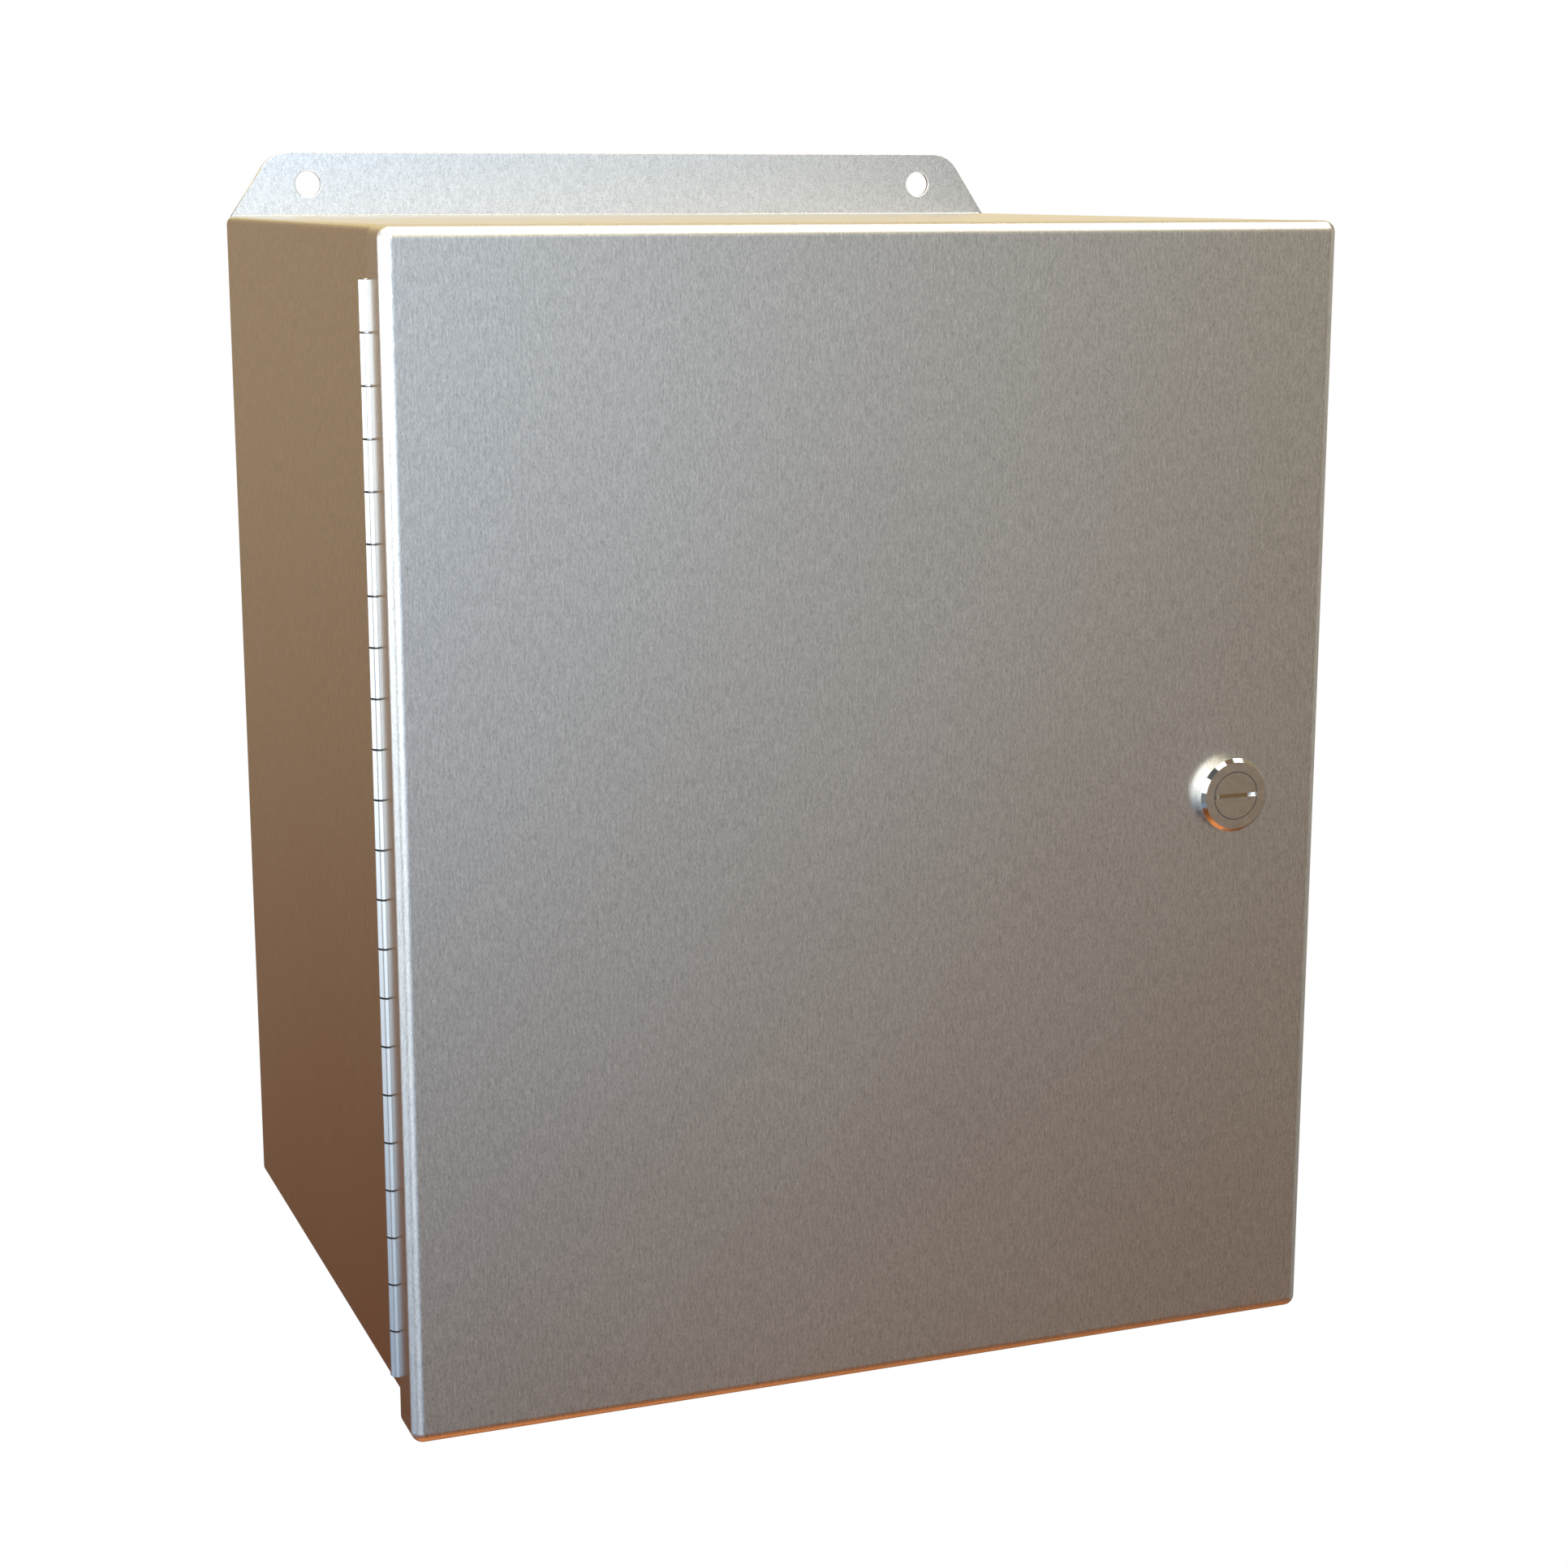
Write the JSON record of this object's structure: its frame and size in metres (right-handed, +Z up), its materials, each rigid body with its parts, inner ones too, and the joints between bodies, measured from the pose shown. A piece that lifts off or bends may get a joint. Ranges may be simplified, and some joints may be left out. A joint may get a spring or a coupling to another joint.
{
  "type": "wall-mount electrical enclosure",
  "caption": "Stainless steel wall box with a full-length hinged cover, one slotted quarter-turn latch, mounting flanges and an inner panel.",
  "frame": {"origin": "centre of the body's back face, which lies flat on the wall", "axes": "+Y into the wall, -Y out towards the person at the door, +Z up, +X to that person's right"},
  "size_m": [0.2621, 0.2198, 0.343],
  "materials": {
    "brushed_stainless": "vertical brushed grain, satin",
    "hinge_stainless": "mill finish stainless",
    "latch_chrome": "polished plating",
    "zinc_plate": "clear zinc plated steel",
    "white_panel_paint": "semi-gloss powder coat",
    "black_gasket": "closed-cell foam, matte"
  },
  "bodies": {
    "enclosure": {"body_shell": "brushed_stainless", "hinge_body_leaf": "hinge_stainless", "hinge_pin": "hinge_stainless", "inner_panel": "white_panel_paint", "panel_stud_1": "zinc_plate", "panel_stud_2": "zinc_plate", "panel_stud_3": "zinc_plate", "panel_stud_4": "zinc_plate", "panel_washer_1": "zinc_plate", "panel_washer_2": "zinc_plate", "panel_washer_3": "zinc_plate", "panel_washer_4": "zinc_plate", "panel_nut_1": "zinc_plate", "panel_nut_2": "zinc_plate", "panel_nut_3": "zinc_plate", "panel_nut_4": "zinc_plate", "ground_stud": "zinc_plate", "ground_washer": "zinc_plate", "ground_nut": "zinc_plate"},
    "door": {"door_pan": "brushed_stainless", "door_gasket": "black_gasket", "hinge_door_leaf": "hinge_stainless", "latch_housing": "latch_chrome", "latch_seal": "black_gasket", "latch_nut": "zinc_plate", "door_bond_stud": "zinc_plate", "door_bond_washer": "zinc_plate", "door_bond_nut": "zinc_plate"},
    "latch": {"latch_insert": "latch_chrome", "latch_cam": "zinc_plate", "cam_washer": "zinc_plate", "cam_nut": "zinc_plate"}
  },
  "joints": [
    {"name": "door_hinge", "type": "hinge", "parent": "enclosure", "child": "door", "pos_m": [-0.1296, -0.1991, 0], "axis": [0, 0, -1], "range_deg": [0, 180]},
    {"name": "latch_turn", "type": "hinge", "parent": "door", "child": "latch", "pos_m": [0.10205, -0.2159, -0.0013], "axis": [0, 1, 0], "range_deg": [0, 90]}
  ]
}
